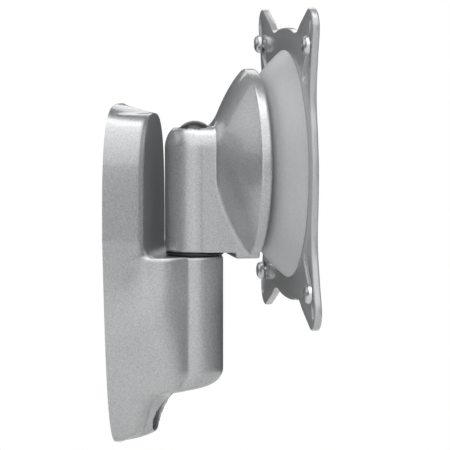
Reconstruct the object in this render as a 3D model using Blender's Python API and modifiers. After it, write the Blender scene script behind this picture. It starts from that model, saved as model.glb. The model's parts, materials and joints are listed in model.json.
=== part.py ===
"""Swivel and tilt wall mount for a small television.

A die-cast wall casting carries a vertical pivot bolt, an arm casting turns on that bolt, and a domed
head with a slotted mounting plate tilts, turns and rolls in the arm's bowl. Units are metres and +Z is
up. The wall is the plane y = 0, the mount stands out towards -Y, and the origin is on the flat back of
the wall casting, half way up.
"""

import math

import bmesh
import bpy
from mathutils import Matrix, Vector

MM = 0.001
GAP = 0.3 * MM          # between pieces that touch or fit into each other
THIN = 0.00005          # merge distance of the modifiers
TURN_STEPS = 40         # facets round a large turned piece
SMALL_STEPS = 20        # facets round a small turned piece

# Pose of the joints as built
SWIVEL_REST = math.radians(21.8)
TILT_REST = math.radians(-0.65)

# Wall casting
CASTING_TOP = 71 * MM
CASTING_BOTTOM = 72 * MM
CASTING_WAIST = 15 * MM         # height of the widest level
CASTING_HALF_WIDTH = 29.5 * MM
CASTING_TAPER = 0.09            # half-width lost per metre below the waist
FACE_DEPTH = 14.5 * MM          # wall to the flat front face above the shelf
FACE_HALF_WIDTH = 20 * MM
FACE_TOP = 67 * MM
SHELF_HEIGHT = 7.6 * MM
SHOULDER_DEPTH = 24 * MM
SHOULDER_HALF_WIDTH = 20.6 * MM
BOSS_RADIUS = 12 * MM
BOSS_BOTTOM = 48 * MM
NOSE_DEPTH = 19.5 * MM
NOSE_CORNER = 4.5 * MM
WALL_SCREW_HEIGHT = -60 * MM
WALL_SCREW_BORE = 3.2 * MM
COUNTERBORE_RADIUS = 6.8 * MM
COUNTERBORE_FLOOR = 6 * MM
SHELF_WEB = 13 * MM             # metal under the shelf that the pivot nut pulls on
CAVITY_HALF_WIDTH = 9 * MM
LOWER_CAVITY_FLOOR = 43 * MM
UPPER_CAVITY = (29 * MM, 57 * MM)
UPPER_CAVITY_DEPTH = 10.5 * MM

# Keyhole plate let into the back of the wall casting
KEYHOLE_PLATE = 2 * MM
KEYHOLE_PLATE_HALF_WIDTH = 17 * MM
KEYHOLE_PLATE_MARGIN = 4.5 * MM
KEYHOLE_RADIUS = 5.2 * MM
KEYHOLE_SLOT = 2.7 * MM
KEYHOLE_LIFT = 9 * MM
KEYHOLE_SCREW_SPACING = 26.4 * MM
KEYHOLE_SCREW_LENGTH = 8 * MM
KEYHOLE_SCREW_RADIUS = 1.5 * MM

# Pivot
PIVOT_STANDOFF = 32.5 * MM      # wall to the pivot axis
PIVOT_RADIUS = 5 * MM
PIVOT_HEAD_RADIUS = 6.6 * MM
PIVOT_HEAD_HEIGHT = 4.5 * MM
PIVOT_CAP_WALL = 0.9 * MM
PIVOT_CAP_RISE = 2.1 * MM       # crown above the hub
PIVOT_CAP_SHOULDER = 4.5 * MM   # start of the dome below the top of the hub
THRUST_WASHER = 1.3 * MM
BUSH_WALL = 1.7 * MM
BUSH_LENGTH = 12 * MM
BUSH_FLANGE = 1 * MM
PIVOT_NUT_RADIUS = 8.2 * MM     # over the corners
PIVOT_NUT_HEIGHT = 7 * MM
PIVOT_WASHER = 1.5 * MM
PIVOT_WASHER_RADIUS = 8.4 * MM
DISC_SPRING = 0.9 * MM
DISC_SPRING_CONE = 0.5 * MM

# Arm casting: hub, neck and bowl
HUB_RADIUS = 12.5 * MM
HUB_TOP = 61.8 * MM
HUB_TOP_ROUND = 7 * MM
HUB_FOOT_ROUND = 0.8 * MM
HUB_RECESS_RADIUS = 8.3 * MM
HUB_RECESS_DEPTH = 8.5 * MM
NECK_START = 15.5 * MM          # the underside steps down in front of the boss
NECK_UNDERSIDE = 6.6 * MM
BOWL_HEIGHT = 46 * MM           # height of the bowl's axis
BOWL_RADIUS = 39.5 * MM
BOWL_RIM_BACK = 21 * MM
BOWL_RIM_FRONT = 25.5 * MM
BOWL_BACK_DEPTH = 13.4 * MM     # rim to the flat of the bowl's back
BOWL_BACK_RADIUS = 12 * MM
BOWL_FILLET = 3.2 * MM

# Ball joint
DOME_RADIUS = 62 * MM
DOME_WALL = 3 * MM
DOME_BASE_RADIUS = 48 * MM
DOME_HOLE_RADIUS = 19.5 * MM
OUTER_LINER = 1.5 * MM
LINER_HOLE_MARGIN = 0.5 * MM    # edge of the dome's hole to the edge of each liner
OUTER_LINER_END = 25            # degrees from the axis
INNER_LINER = 1.2 * MM
INNER_LINER_MARGIN = 3.4 * MM   # edge of the inner liner to the screw lugs
CLAMP_ANGLE = 23
CLAMP_EDGE = 0.8 * MM
TENSION_RADIUS = 4 * MM
TENSION_HEAD_RADIUS = 6.5 * MM
TENSION_HEAD_HEIGHT = 4 * MM
TENSION_THREAD = 5.5 * MM
TENSION_SPRING_RADIUS = 9.5 * MM

# Mounting plate and its screws
PLATE_DISTANCE = 38.8 * MM      # pivot axis to the back of the plate
PLATE = 3 * MM
PLATE_HOLE_RADIUS = 9 * MM
PLATE_BUMP = 57.1 * MM
PLATE_VALLEY = (23.5 * MM, 55.4 * MM)
EAR_CENTRE = (48.4 * MM, 56.7 * MM)
EAR_RADIUS = 8.4 * MM
PLATE_WAIST = (50 * MM, 30 * MM)
PLATE_HALF_WIDTH = 53.2 * MM
SCREW_PITCH = 100 * MM
SLOT_INNER_PITCH = 75 * MM
SLOT_END = (2.6 * MM, 8.2 * MM)     # from the screw to the slot's outer end, which bends up into the ear
SLOT_WIDTH = 4.8 * MM
SCREW_RADIUS = 2 * MM
SCREW_HEAD_RADIUS = 4 * MM
SCREW_HEAD_HEIGHT = 2.9 * MM
SCREW_RECESS = 0.3 * MM         # tips behind the face of the plate
DOME_SCREW_CIRCLE = 39.5 * MM
DOME_SCREW_RADIUS = 1.8 * MM
DOME_SCREW_HEAD = 3.4 * MM
DOME_SCREW_LENGTH = 6 * MM
DOME_LUG_RADIUS = 4 * MM

# Worked out from the sizes above
HUB_FOOT = SHELF_HEIGHT + THRUST_WASHER + 2 * GAP
BALL_DISTANCE = PLATE_DISTANCE + math.sqrt(DOME_RADIUS ** 2 - DOME_BASE_RADIUS ** 2)
SEAT_RADIUS = DOME_RADIUS + OUTER_LINER + 2 * GAP
DOME_INSIDE = DOME_RADIUS - DOME_WALL
CLAMP_RADIUS = DOME_INSIDE - INNER_LINER - 2 * GAP
PLATE_BACK = BALL_DISTANCE - PLATE_DISTANCE     # ball centre to the back of the plate
LINER_START = math.degrees(math.asin((DOME_HOLE_RADIUS + LINER_HOLE_MARGIN) / DOME_RADIUS))
INNER_LINER_REACH = DOME_SCREW_CIRCLE - DOME_LUG_RADIUS - INNER_LINER_MARGIN
INNER_LINER_END = math.degrees(math.asin(INNER_LINER_REACH / DOME_INSIDE))


# ---------------------------------------------------------------- tools

def start_scene():
    for item in list(bpy.data.objects):
        bpy.data.objects.remove(item)
    for name in ("tv_wall_mount", "cutters"):
        group = bpy.data.collections.new(name)
        bpy.context.scene.collection.children.link(group)
    return bpy.data.collections["tv_wall_mount"], bpy.data.collections["cutters"]


PARTS, CUTTERS = start_scene()


def finish_material(name, colour, roughness, metallic):
    material = bpy.data.materials.new(name)
    material.use_nodes = True
    shader = material.node_tree.nodes["Principled BSDF"]
    shader.inputs["Base Color"].default_value = (*colour, 1)
    shader.inputs["Roughness"].default_value = roughness
    shader.inputs["Metallic"].default_value = metallic
    return material


SILVER = finish_material("silver_paint", (0.46, 0.47, 0.48), 0.4, 0.7)
DOME_GREY = finish_material("dome_paint", (0.42, 0.42, 0.41), 0.5, 0.5)
PLATE_GREY = finish_material("plate_paint", (0.3, 0.3, 0.29), 0.4, 0.6)
ZINC = finish_material("zinc_plate", (0.7, 0.71, 0.73), 0.3, 1.0)
SPRING_STEEL = finish_material("spring_steel", (0.35, 0.35, 0.36), 0.35, 1.0)
BLACK_NYLON = finish_material("black_nylon", (0.02, 0.02, 0.02), 0.5, 0.0)
CAP_GREY = finish_material("cap_plastic", (0.08, 0.08, 0.08), 0.35, 0.0)
ACETAL = finish_material("white_acetal", (0.7, 0.7, 0.67), 0.45, 0.0)


def empty(name, parent=None, location=(0, 0, 0), rotation=(0, 0, 0)):
    item = bpy.data.objects.new(name, None)
    item.location = location
    item.rotation_euler = rotation
    item.parent = parent
    PARTS.objects.link(item)
    return item


def mesh_object(name, bm, group=PARTS):
    bmesh.ops.recalc_face_normals(bm, faces=bm.faces)
    mesh = bpy.data.meshes.new(name)
    bm.to_mesh(mesh)
    bm.free()
    item = bpy.data.objects.new(name, mesh)
    group.objects.link(item)
    return item


def make_part(item, material, parent=None, location=(0, 0, 0), rotation=(0, 0, 0)):
    """Places a finished piece, gives it its material and smooth shading."""
    item.parent = parent
    item.location = location
    item.rotation_euler = rotation
    item.data.materials.clear()
    item.data.materials.append(material)
    if item.type == "MESH":
        item.data.shade_smooth()
        item.data.set_sharp_from_angle(angle=math.radians(35))
    return item


def profile_object(name, points, steps, group=PARTS):
    """A closed outline of (radius, height) points turned about Z: radius 0 points lie on the axis."""
    mesh = bpy.data.meshes.new(name)
    on_axis = points[0][0] == 0 and points[-1][0] == 0
    count = len(points)
    edges = [(i, (i + 1) % count) for i in range(count - 1 if on_axis else count)]
    mesh.from_pydata([(radius, 0, height) for radius, height in points], edges, [])
    item = bpy.data.objects.new(name, mesh)
    group.objects.link(item)
    screw = item.modifiers.new("turn", "SCREW")
    screw.steps = screw.render_steps = steps
    screw.use_merge_vertices = True
    screw.merge_threshold = THIN
    screw.use_normal_calculate = True
    return item


def baked(item):
    """Replaces an object's mesh or curve by its evaluated mesh, with doubles merged and normals outward."""
    graph = bpy.context.evaluated_depsgraph_get()
    bm = bmesh.new()
    bm.from_mesh(bpy.data.meshes.new_from_object(item.evaluated_get(graph)))
    bmesh.ops.remove_doubles(bm, verts=bm.verts, dist=THIN / 10)
    bmesh.ops.recalc_face_normals(bm, faces=bm.faces)
    group = item.users_collection[0]
    name = item.name
    bpy.data.objects.remove(item)
    mesh = bpy.data.meshes.new(name)
    bm.to_mesh(mesh)
    bm.free()
    solid = bpy.data.objects.new(name, mesh)
    group.objects.link(solid)
    return solid


def turned(name, points, steps=SMALL_STEPS, group=PARTS):
    return baked(profile_object(name, points, steps, group))


def box(name, low, high, group=CUTTERS, bevel=0.0):
    bm = bmesh.new()
    bmesh.ops.create_cube(bm, size=1)
    centre = [(a + b) / 2 for a, b in zip(low, high)]
    scale = [b - a for a, b in zip(low, high)]
    bmesh.ops.scale(bm, vec=scale, verts=bm.verts)
    bmesh.ops.translate(bm, vec=centre, verts=bm.verts)
    if bevel:
        bmesh.ops.bevel(bm, geom=bm.edges[:], offset=bevel, segments=2, profile=0.5, affect="EDGES")
    return mesh_object(name, bm, group)


def rod(name, radius, length, centre, axis="Z", steps=SMALL_STEPS, group=CUTTERS, tip=None):
    """A cylinder, or with tip a cone frustum, of this length along X, Y or Z with its middle at centre."""
    bm = bmesh.new()
    bmesh.ops.create_cone(bm, cap_ends=True, segments=steps, radius1=radius,
                          radius2=radius if tip is None else tip, depth=length)
    turn = {"Z": Matrix(), "Y": Matrix.Rotation(math.radians(90), 4, "X"),
            "X": Matrix.Rotation(math.radians(90), 4, "Y")}[axis]
    bmesh.ops.transform(bm, matrix=Matrix.Translation(centre) @ turn, verts=bm.verts)
    return mesh_object(name, bm, group)


def combine(item, other, operation):
    """One exact Boolean, applied, so that the object stays a plain mesh."""
    step = item.modifiers.new(operation.lower(), "BOOLEAN")
    step.operation = operation
    step.solver = "EXACT"
    step.object = other
    solid = baked(item)
    if operation == "UNION":
        bpy.data.objects.remove(other)
    else:
        other.display_type = "WIRE"
        other.hide_render = True
    return solid


def cut(item, *cutters):
    for cutter in cutters:
        item = combine(item, cutter, "DIFFERENCE")
    return item


def join(item, *others):
    for other in others:
        item = combine(item, other, "UNION")
    return item


def loft(name, rings, group=PARTS):
    """A closed solid through rings of equally many points, with a flat cap at each end."""
    bm = bmesh.new()
    loops = [[bm.verts.new(point) for point in ring] for ring in rings]
    count = len(loops[0])
    for lower, upper in zip(loops, loops[1:]):
        for i in range(count):
            j = (i + 1) % count
            bm.faces.new((lower[i], lower[j], upper[j], upper[i]))
    bm.faces.new(loops[0])
    bm.faces.new(loops[-1])
    bmesh.ops.remove_doubles(bm, verts=bm.verts, dist=THIN / 10)
    bmesh.ops.triangulate(bm, faces=bm.faces)
    return mesh_object(name, bm, group)


def arc(centre, radius, start, end, count):
    """Points of an arc in the plane, angles in degrees, both ends included."""
    points = []
    for i in range(count + 1):
        angle = math.radians(start + (end - start) * i / count)
        points.append((centre[0] + radius * math.cos(angle), centre[1] + radius * math.sin(angle)))
    return points


def blend(a, b, share):
    return a + (b - a) * share


def smooth_step(low, high, value):
    share = min(max((value - low) / (high - low), 0), 1)
    return share * share * (3 - 2 * share)


def smooth_max(a, b, width):
    """The larger of two lengths, with a fillet where they cross."""
    overlap = max(width - abs(a - b), 0) / width
    return max(a, b) + overlap * overlap * width / 4


# ---------------------------------------------------------------- wall casting

def outline_half_width(height, half_width, top):
    """Half-width of the shield-shaped casting at this height, for a level whose arch ends at top."""
    if height >= top or height <= -CASTING_BOTTOM:
        return 0.0
    if height > CASTING_WAIST:
        share = (height - CASTING_WAIST) / (top - CASTING_WAIST)
        return half_width * (1 - share ** 3.3) ** (1 / 3.3)
    drop = CASTING_WAIST - height
    share = drop / (CASTING_WAIST + CASTING_BOTTOM)
    return (half_width - CASTING_TAPER * drop) * (1 - share ** 4) ** 0.25


def whole_ring(half, height):
    """Mirrors a half outline of (x, depth) points into a closed ring at this height."""
    mirrored = [(-x, depth) for x, depth in reversed(half[1:-1])]
    return [Vector((x, -depth, height)) for x, depth in half + mirrored]


def side_points(base, corner, corner_depth, setback):
    """Back of the casting and its drafted side, up to setback before the side's front corner."""
    length = math.hypot(base - corner, corner_depth)
    stop = max(1 - setback / max(length, setback), 0.5)
    points = [(0, 0), (base / 2, 0)]
    for share in (0, 0.25 * stop, 0.5 * stop, 0.75 * stop, stop):
        points.append((blend(base, corner, share), corner_depth * share))
    return points


def upper_ring(height):
    """Plan of the casting above the shelf: a drafted slab with an edge of small radius."""
    fillet = 5 * MM
    base = outline_half_width(height, CASTING_HALF_WIDTH, CASTING_TOP)
    if height < FACE_TOP:
        corner = outline_half_width(height, FACE_HALF_WIDTH, FACE_TOP)
        depth = FACE_DEPTH
    else:
        corner = 0.0
        depth = FACE_DEPTH * (CASTING_TOP - height) / (CASTING_TOP - FACE_TOP)
    rise = height - SHELF_HEIGHT
    foot = fillet - math.sqrt(fillet ** 2 - (fillet - rise) ** 2) if rise < fillet else 0.0
    edge = min(1.4 * MM, corner / 2)
    half = side_points(base, corner, depth, 1.4 * MM)
    half.append((corner - 0.15 * edge, depth - 0.25 * edge + foot * 0.3))
    half.append((corner - 0.45 * edge, depth - 0.05 * edge + foot * 0.7))
    half.append((corner - edge, depth + foot))
    inner = corner - edge
    for share in (0.88, 0.76, 0.64, 0.52, 0.4, 0.28, 0.18, 0.09, 0):
        half.append((inner * share, depth + foot))
    return whole_ring(half, height)


# Centre line of the casting's front below the shelf, as (height, depth): boss, its foot, then the nose
FRONT_LINE = [
    (-41 * MM, PIVOT_STANDOFF + BOSS_RADIUS),
    (-44.2 * MM, PIVOT_STANDOFF + BOSS_RADIUS - 1.5 * MM),
    (-46.4 * MM, PIVOT_STANDOFF + BOSS_RADIUS - 3.8 * MM),
    (-BOSS_BOTTOM, PIVOT_STANDOFF + BOSS_RADIUS - 7.3 * MM),
    (-49.6 * MM, 30 * MM),
    (-50.8 * MM, NOSE_DEPTH + 4.6 * MM),
    (-53.7 * MM, NOSE_DEPTH + 1.7 * MM),
    (-57.5 * MM, NOSE_DEPTH + 0.4 * MM),
    (-61 * MM, NOSE_DEPTH - 0.6 * MM),
    (-64.5 * MM, NOSE_DEPTH - 2 * MM),
    (-67.4 * MM, NOSE_DEPTH - 3.6 * MM),
    (-69.2 * MM, NOSE_DEPTH - 7 * MM),
    (-70.6 * MM, NOSE_DEPTH - 11 * MM),
    (-71.6 * MM, NOSE_DEPTH - 15.5 * MM),
]


def lower_ring(height, front, inset=0.0):
    """Plan of the casting below the shelf: drafted side, shoulder, slanted flank and round boss or nose."""
    base = outline_half_width(height, CASTING_HALF_WIDTH, CASTING_TOP)
    at_shelf = outline_half_width(SHELF_HEIGHT, CASTING_HALF_WIDTH, CASTING_TOP)
    shoulder = SHOULDER_HALF_WIDTH * base / at_shelf - inset
    full_depth = SHOULDER_DEPTH + 1.09 * (SHOULDER_HALF_WIDTH - shoulder - inset)
    nose = smooth_step(-BOSS_BOTTOM + 2 * MM, -BOSS_BOTTOM - 9 * MM, height)
    radius = blend(BOSS_RADIUS - 0.4 * inset, 0.48 * base, nose)
    corner = smooth_step(-BOSS_BOTTOM + 2 * MM, -BOSS_BOTTOM - 3.5 * MM, height)
    reach = min(blend(radius, NOSE_CORNER, corner), 0.4 * front)
    centre = front - reach
    shoulder_depth = min(full_depth, centre - 0.04 * nose * front)
    shoulder = blend(base, shoulder, shoulder_depth / full_depth)
    straight = smooth_step(SHELF_HEIGHT, -22 * MM, height)
    share = min(FACE_DEPTH / shoulder_depth, 0.6)
    middle_depth = share * shoulder_depth
    drafted = blend(base, FACE_HALF_WIDTH * base / at_shelf, min(middle_depth / FACE_DEPTH, 1))
    middle = blend(drafted, blend(base, shoulder, share), straight)
    half = side_points(base, middle, middle_depth, 1.4 * MM)
    half.append((middle, middle_depth))
    flank = (shoulder - radius, centre - shoulder_depth)
    for step in (0.55, 0.8, 1):
        half.append((blend(middle, shoulder, step), blend(middle_depth, shoulder_depth, step)))
    for step in (0.12, 0.3, 0.75):
        half.append((shoulder - flank[0] * step, shoulder_depth + flank[1] * step))
    for angle in (0, 22, 45, 68, 90):
        turn = math.radians(angle)
        half.append((radius * math.cos(turn), centre + (reach - inset * 0.4) * math.sin(turn)))
    return whole_ring(half, height)


def wall_casting():
    rings = []
    for height, front in reversed(FRONT_LINE):
        rings.append(lower_ring(height, front))
    boss_front = PIVOT_STANDOFF + BOSS_RADIUS
    for height in (-34 * MM, -26 * MM, -18 * MM, -10 * MM, -2 * MM):
        rings.append(lower_ring(height, boss_front))
    rings.append(lower_ring(SHELF_HEIGHT - 1.6 * MM, boss_front))
    rings.append(lower_ring(SHELF_HEIGHT - 0.5 * MM, boss_front, 0.4 * MM))
    rings.append(lower_ring(SHELF_HEIGHT, boss_front, 1.3 * MM))
    for rise in (0, 0.6, 1.8, 5):
        rings.append(upper_ring(SHELF_HEIGHT + rise * MM))
    for height in (22, 32, 41, 48, 53.5, 58, 61.5, 64, 65.8, 66.9, 68.2, 69.3, 70.2, 70.85):
        rings.append(upper_ring(height * MM))
    casting = loft("wall_casting", rings)
    floor = SHELF_HEIGHT - SHELF_WEB
    cavity = join(
        box("lower_cavity", (-CAVITY_HALF_WIDTH, -PIVOT_STANDOFF, -LOWER_CAVITY_FLOOR),
            (CAVITY_HALF_WIDTH, 5 * MM, floor)),
        rod("boss_core", CAVITY_HALF_WIDTH, LOWER_CAVITY_FLOOR + floor - GAP,
            (0, -PIVOT_STANDOFF, (floor - LOWER_CAVITY_FLOOR) / 2)))
    upper = box("upper_cavity", (-CAVITY_HALF_WIDTH + 0.5 * MM, -UPPER_CAVITY_DEPTH, UPPER_CAVITY[0]),
                (CAVITY_HALF_WIDTH - 0.5 * MM, 5 * MM, UPPER_CAVITY[1]), bevel=1.5 * MM)
    seat = box("keyhole_seat", (-KEYHOLE_PLATE_HALF_WIDTH - GAP, -KEYHOLE_PLATE - 2 * GAP,
                                UPPER_CAVITY[0] - KEYHOLE_PLATE_MARGIN - GAP),
               (KEYHOLE_PLATE_HALF_WIDTH + GAP, 5 * MM, UPPER_CAVITY[1] + KEYHOLE_PLATE_MARGIN + GAP))
    bore = rod("pivot_bore", PIVOT_RADIUS + GAP, 3 * SHELF_WEB, (0, -PIVOT_STANDOFF, SHELF_HEIGHT))
    wall_hole = rod("wall_screw_hole", WALL_SCREW_BORE, 80 * MM, (0, 0, WALL_SCREW_HEIGHT), "Y")
    counterbore = rod("counterbore", COUNTERBORE_RADIUS, 40 * MM,
                      (0, -COUNTERBORE_FLOOR - 20 * MM, WALL_SCREW_HEIGHT), "Y")
    cutters = [cavity, upper, seat, bore, wall_hole, counterbore]
    for side in (-1, 1):
        depth = KEYHOLE_SCREW_LENGTH + 1 * MM
        cutters.append(rod("keyhole_tap", KEYHOLE_SCREW_RADIUS + GAP, depth,
                           (side * KEYHOLE_SCREW_SPACING / 2, -depth / 2, keyhole_middle()), "Y", 12))
    return make_part(cut(casting, *cutters), SILVER)


def keyhole_middle():
    return (UPPER_CAVITY[0] + UPPER_CAVITY[1]) / 2


def keyhole_plate():
    margin = KEYHOLE_PLATE_MARGIN
    plate = box("keyhole_plate", (-KEYHOLE_PLATE_HALF_WIDTH, -KEYHOLE_PLATE - GAP, UPPER_CAVITY[0] - margin),
                (KEYHOLE_PLATE_HALF_WIDTH, -GAP, UPPER_CAVITY[1] + margin), PARTS)
    low = keyhole_middle() - KEYHOLE_LIFT / 2
    hole = rod("keyhole", KEYHOLE_RADIUS, 20 * MM, (0, 0, low), "Y", 28)
    slot = box("keyhole_slot", (-KEYHOLE_SLOT, -10 * MM, low), (KEYHOLE_SLOT, 10 * MM, low + KEYHOLE_LIFT))
    end = rod("keyhole_end", KEYHOLE_SLOT, 20 * MM, (0, 0, low + KEYHOLE_LIFT), "Y", 28)
    cutters = [hole, slot, end]
    for side in (-1, 1):
        place = side * KEYHOLE_SCREW_SPACING / 2
        head = 2 * KEYHOLE_SCREW_RADIUS
        cutters.append(rod("keyhole_sink", head + 2 * GAP, KEYHOLE_PLATE + 2 * GAP,
                           (place, -KEYHOLE_PLATE / 2 - GAP, keyhole_middle()), "Y", 16,
                           tip=KEYHOLE_SCREW_RADIUS + GAP))
    return make_part(cut(plate, *cutters), ZINC)


def keyhole_screws():
    """Two countersunk screws that hold the keyhole plate in its seat."""
    head = 2 * KEYHOLE_SCREW_RADIUS
    outline = [(0, 0), (head, 0), (head, -0.2 * MM), (KEYHOLE_SCREW_RADIUS, -1.7 * MM),
               (KEYHOLE_SCREW_RADIUS, -KEYHOLE_SCREW_LENGTH), (0, -KEYHOLE_SCREW_LENGTH)]
    for name, side in (("keyhole_screw_left", -1), ("keyhole_screw_right", 1)):
        screw = turned(name, outline, 14)
        place = (side * KEYHOLE_SCREW_SPACING / 2, -GAP, keyhole_middle())
        make_part(screw, ZINC, None, place, (math.radians(-90), 0, 0))


# ---------------------------------------------------------------- pivot

def hexagon(name, across_corners, bottom, top, group=PARTS):
    return rod(name, across_corners, top - bottom, (0, 0, (bottom + top) / 2), steps=6, group=group)


def ring_outline(inner, outer, bottom, top):
    return [(outer, top), (outer, bottom), (inner, bottom), (inner, top)]


def disc_spring(name, inner, outer, low, parent, cone=DISC_SPRING_CONE, rotation=(0, 0, 0),
                location=(0, 0, 0)):
    """A conical spring washer: its outer edge stands at low and its inner edge rises by the cone."""
    outline = [(outer, low + DISC_SPRING), (outer, low), (inner, low + cone),
               (inner, low + cone + DISC_SPRING)]
    return make_part(turned(name, outline, SMALL_STEPS), SPRING_STEEL, parent, location, rotation)


def pivot_hardware(axis):
    """Fixed pieces of the pivot: bolt, cap, thrust washer, and the clamp under the shelf."""
    recess_floor = HUB_TOP - HUB_RECESS_DEPTH
    head_bottom = recess_floor + BUSH_FLANGE + 2 * GAP
    floor = SHELF_HEIGHT - SHELF_WEB
    washer_top = floor - GAP
    spring_low = washer_top - PIVOT_WASHER - GAP - DISC_SPRING - DISC_SPRING_CONE
    second_low = spring_low - GAP - DISC_SPRING - DISC_SPRING_CONE
    nut_top = second_low - GAP
    nut_bottom = nut_top - PIVOT_NUT_HEIGHT
    tip = nut_bottom - 2.5 * MM
    bolt = turned("pivot_bolt", [
        (0, head_bottom + PIVOT_HEAD_HEIGHT), (PIVOT_HEAD_RADIUS - 0.8 * MM, head_bottom + PIVOT_HEAD_HEIGHT),
        (PIVOT_HEAD_RADIUS, head_bottom + PIVOT_HEAD_HEIGHT - 0.8 * MM), (PIVOT_HEAD_RADIUS, head_bottom),
        (PIVOT_RADIUS, head_bottom), (PIVOT_RADIUS, tip + 0.8 * MM), (PIVOT_RADIUS - 0.8 * MM, tip), (0, tip)],
        24)
    make_part(bolt, ZINC, axis)

    inner = PIVOT_HEAD_RADIUS + GAP
    outer = inner + PIVOT_CAP_WALL
    shoulder = HUB_TOP - PIVOT_CAP_SHOULDER
    crown = HUB_TOP + PIVOT_CAP_RISE
    dome = arc((0, shoulder), outer, 0, 90, 6)
    dome = [(radius, shoulder + (height - shoulder) * (crown - shoulder) / outer) for radius, height in dome]
    ceiling = head_bottom + PIVOT_HEAD_HEIGHT + GAP
    outline = [(0, crown)] + list(reversed(dome))[1:]
    outline += [(outer, head_bottom + GAP), (inner, head_bottom + GAP), (inner, ceiling), (0, ceiling)]
    make_part(turned("pivot_cap", outline, 28), CAP_GREY, axis)

    bolt_clear = PIVOT_RADIUS + GAP
    low = SHELF_HEIGHT + GAP
    washer = ring_outline(bolt_clear, HUB_RADIUS - GAP, low, low + THRUST_WASHER)
    make_part(turned("thrust_washer", washer, TURN_STEPS), BLACK_NYLON, axis)
    washer = ring_outline(bolt_clear, PIVOT_WASHER_RADIUS, washer_top - PIVOT_WASHER, washer_top)
    make_part(turned("pivot_washer", washer), ZINC, axis)
    disc_spring("pivot_spring_upper", bolt_clear, PIVOT_WASHER_RADIUS - 0.4 * MM, spring_low, axis)
    disc_spring("pivot_spring_lower", bolt_clear, PIVOT_WASHER_RADIUS - 0.4 * MM, second_low, axis)
    nut = hexagon("pivot_nut", PIVOT_NUT_RADIUS, nut_bottom, nut_top)
    thread = rod("nut_bore", bolt_clear, 3 * PIVOT_NUT_HEIGHT, (0, 0, nut_top))
    make_part(cut(nut, thread), ZINC, axis)


def hub_bushes(arm):
    """A flanged bush at the top of the hub, under the bolt head, and a plain one at its foot."""
    recess_floor = HUB_TOP - HUB_RECESS_DEPTH
    inner = PIVOT_RADIUS + GAP
    outer = inner + BUSH_WALL
    flange = HUB_RECESS_RADIUS - 0.5 * MM
    top = recess_floor + GAP + BUSH_FLANGE
    upper = [(flange, top), (flange, recess_floor + GAP), (outer, recess_floor + GAP),
             (outer, recess_floor - BUSH_LENGTH), (inner, recess_floor - BUSH_LENGTH), (inner, top)]
    make_part(turned("upper_bush", upper, 24), ACETAL, arm)
    lower = ring_outline(inner, outer, HUB_FOOT + GAP, HUB_FOOT + BUSH_LENGTH)
    make_part(turned("lower_bush", lower, 24), ACETAL, arm)


# ---------------------------------------------------------------- arm casting

def bowl_radius(distance):
    """Outer radius of the bowl at this distance from the pivot axis: rounded rim, cone, flat back."""
    band = 1.6 * MM
    if distance > BOWL_RIM_BACK + band:
        return BOWL_RADIUS
    share = (BOWL_RIM_BACK + band - distance) / (BOWL_BACK_DEPTH + band)
    share = min(max(share, 0), 1)
    return BOWL_BACK_RADIUS + (BOWL_RADIUS - BOWL_BACK_RADIUS) * (1 - share ** 1.55) ** (1 / 1.32)


def neck_reach(direction, underside, half_width):
    """Distance from the bowl axis to the neck's outline, a box with rounded top corners."""
    across, up = direction
    low, high = 0.0, 100 * MM
    top = HUB_TOP - BOWL_HEIGHT
    for _ in range(30):
        middle = (low + high) / 2
        x, z = abs(across * middle), up * middle
        corner_x = x - (half_width - HUB_TOP_ROUND)
        corner_z = z - (top - HUB_TOP_ROUND)
        if corner_x > 0 and corner_z > 0:
            inside = math.hypot(corner_x, corner_z) < HUB_TOP_ROUND
        else:
            inside = x < half_width and underside - BOWL_HEIGHT < z < top
        low, high = (middle, high) if inside else (low, middle)
    return low


def neck_angles():
    """Angles round the bowl axis, with extra ones at the corners of the neck's underside."""
    corners = []
    for underside in (HUB_FOOT, NECK_UNDERSIDE):
        corner = math.degrees(math.atan2(underside - BOWL_HEIGHT, HUB_RADIUS - 0.05 * MM))
        corners += [corner % 360, (180 - corner) % 360]
    even = [7.5 * i for i in range(48) if all(abs(7.5 * i - corner) > 2.5 for corner in corners)]
    return [math.radians(angle) for angle in sorted(even + corners)]


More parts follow.
